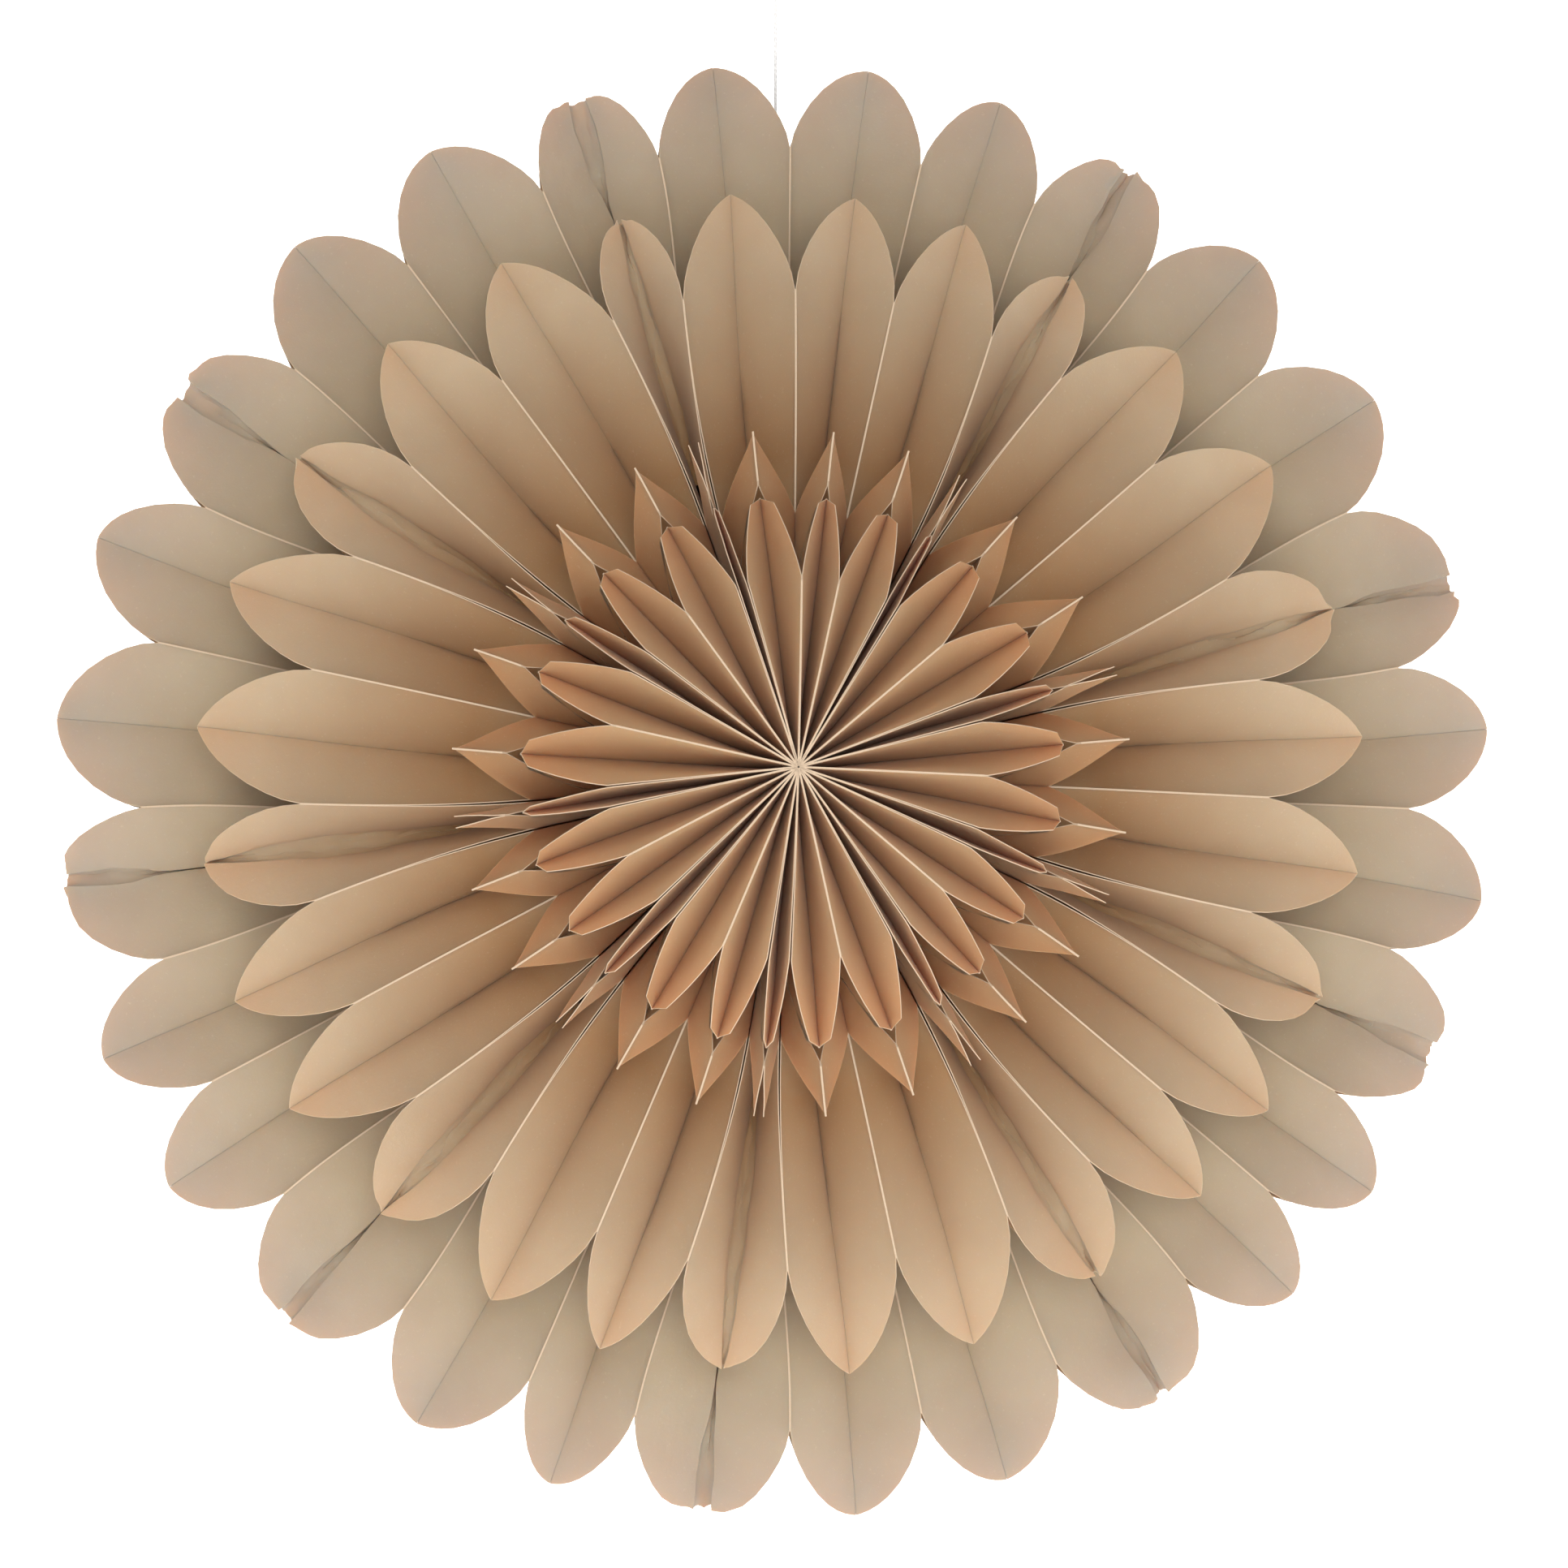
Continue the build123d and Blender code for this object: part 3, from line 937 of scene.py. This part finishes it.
cotton = spun_fibre("cotton_cord", CORD_WHITE, CORD_SHADE, 380)
route = cord_route()
shape = bmesh.new()
strands_along(shape, route)
cord = piece_from(shape, "cord_strands", cotton)
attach(cord, "root")
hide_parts("hanging_cord")

low_knot = knot_piece("seam_knot", "cord_knot")
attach(low_knot, "root")
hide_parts("cord_knot")

high_knot = knot_piece("tied_knot", "loop_knot")
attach(high_knot, "root")
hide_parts("loop_knot")

loop_low, loop_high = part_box("hanging_loop")
loop_centre = (loop_low + loop_high) / 2
LOOP_RADIUS = (loop_high.x - loop_low.x - CORD_DIAMETER) / 2
LOOP_STEPS = 96
ring = [loop_centre + Vector((sin(2 * pi * k / LOOP_STEPS), 0, -cos(2 * pi * k / LOOP_STEPS)))
        * LOOP_RADIUS for k in range(LOOP_STEPS)]
shape = bmesh.new()
strands_along(shape, ring, closed=True)
loop = piece_from(shape, "loop_strands", cotton)
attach(loop, "root")
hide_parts("hanging_loop")


# ======================================================================
# The studio: a pale floor, a pale wall behind, soft light and the camera.
# ======================================================================

BALL_RADIUS = TIP_HEIGHT / cos(HALF_CELL)
CAMERA_DISTANCE = 6.4 * BALL_RADIUS
CAMERA_YAW = radians(-2.5)     # to the left of the spine
CAMERA_PITCH = radians(-2.3)   # below the spine
VIEW_WIDTH = 0.544             # what the picture takes in at the ball's middle
VIEW_SHIFT = (0.0030, -0.0016)
FLOOR_DROP = 0.42              # the floor, below the ball's centre
WALL_BEHIND = 1.6
STUDIO_WHITE = (0.93, 0.93, 0.93)
STUDIO_GLOW = 0.75             # keeps the floor and the wall white
AIR_LIGHT = 0.46
SENSOR_WIDTH = 36


def studio_panel(name, corners):
    mesh = bpy.data.meshes.new(name)
    mesh.from_pydata(corners, [], [(0, 1, 2, 3)])
    piece = bpy.data.objects.new(name, mesh)
    bpy.context.scene.collection.objects.link(piece)
    mesh.materials.append(studio_white)
    return piece


def area_light(name, place, aim, size, power, colour):
    data = bpy.data.lights.new(name, "AREA")
    data.shape = "DISK"
    data.size = size
    data.energy = power
    data.color = colour
    lamp = bpy.data.objects.new(name, data)
    lamp.location = place
    lamp.rotation_euler = (Vector(aim) - Vector(place)).to_track_quat("-Z", "Y").to_euler()
    bpy.context.scene.collection.objects.link(lamp)


studio_white, _, studio_surface, _ = shader("studio_white", 0.9)
studio_surface.inputs["Base Color"].default_value = (*STUDIO_WHITE, 1)
studio_surface.inputs["Emission Color"].default_value = (1, 1, 1, 1)
studio_surface.inputs["Emission Strength"].default_value = STUDIO_GLOW

floor_z = centre.z - FLOOR_DROP
wall_y = centre.y + WALL_BEHIND
studio_panel("floor", [(-4, -4, floor_z), (4, -4, floor_z), (4, wall_y, floor_z),
                       (-4, wall_y, floor_z)])
studio_panel("wall", [(-4, wall_y, floor_z), (4, wall_y, floor_z), (4, wall_y, floor_z + 5),
                      (-4, wall_y, floor_z + 5)])

area_light("key_light", centre + Vector((-0.9, -2.0, 1.7)), centre, 1.6, 16, (1.0, 0.97, 0.93))
area_light("fill_light", centre + Vector((1.6, -1.9, 0.3)), centre, 1.8, 5, (0.95, 0.97, 1.0))
area_light("front_light", centre + Vector((0.1, -2.4, 0.2)), centre, 1.0, 14, (1.0, 0.98, 0.96))

world = bpy.data.worlds.new("studio")
bpy.context.scene.world = world
world.use_nodes = True
world.node_tree.nodes["Background"].inputs["Color"].default_value = (1, 1, 1, 1)
world.node_tree.nodes["Background"].inputs["Strength"].default_value = AIR_LIGHT

camera_data = bpy.data.cameras.new("camera")
camera = bpy.data.objects.new("camera", camera_data)
bpy.context.scene.collection.objects.link(camera)
towards = Vector((sin(CAMERA_YAW) * cos(CAMERA_PITCH), -cos(CAMERA_YAW) * cos(CAMERA_PITCH),
                  sin(CAMERA_PITCH)))
sideways = Vector((cos(CAMERA_YAW), sin(CAMERA_YAW), 0))
upwards = towards.cross(sideways) * -1
aim = centre + sideways * VIEW_SHIFT[0] + upwards * VIEW_SHIFT[1]
camera.location = aim + towards * CAMERA_DISTANCE
camera.rotation_euler = (-towards).to_track_quat("-Z", "Y").to_euler()
camera_data.sensor_width = SENSOR_WIDTH
camera_data.lens = SENSOR_WIDTH * CAMERA_DISTANCE / VIEW_WIDTH
bpy.context.scene.camera = camera
bpy.context.scene.view_settings.view_transform = "Standard"
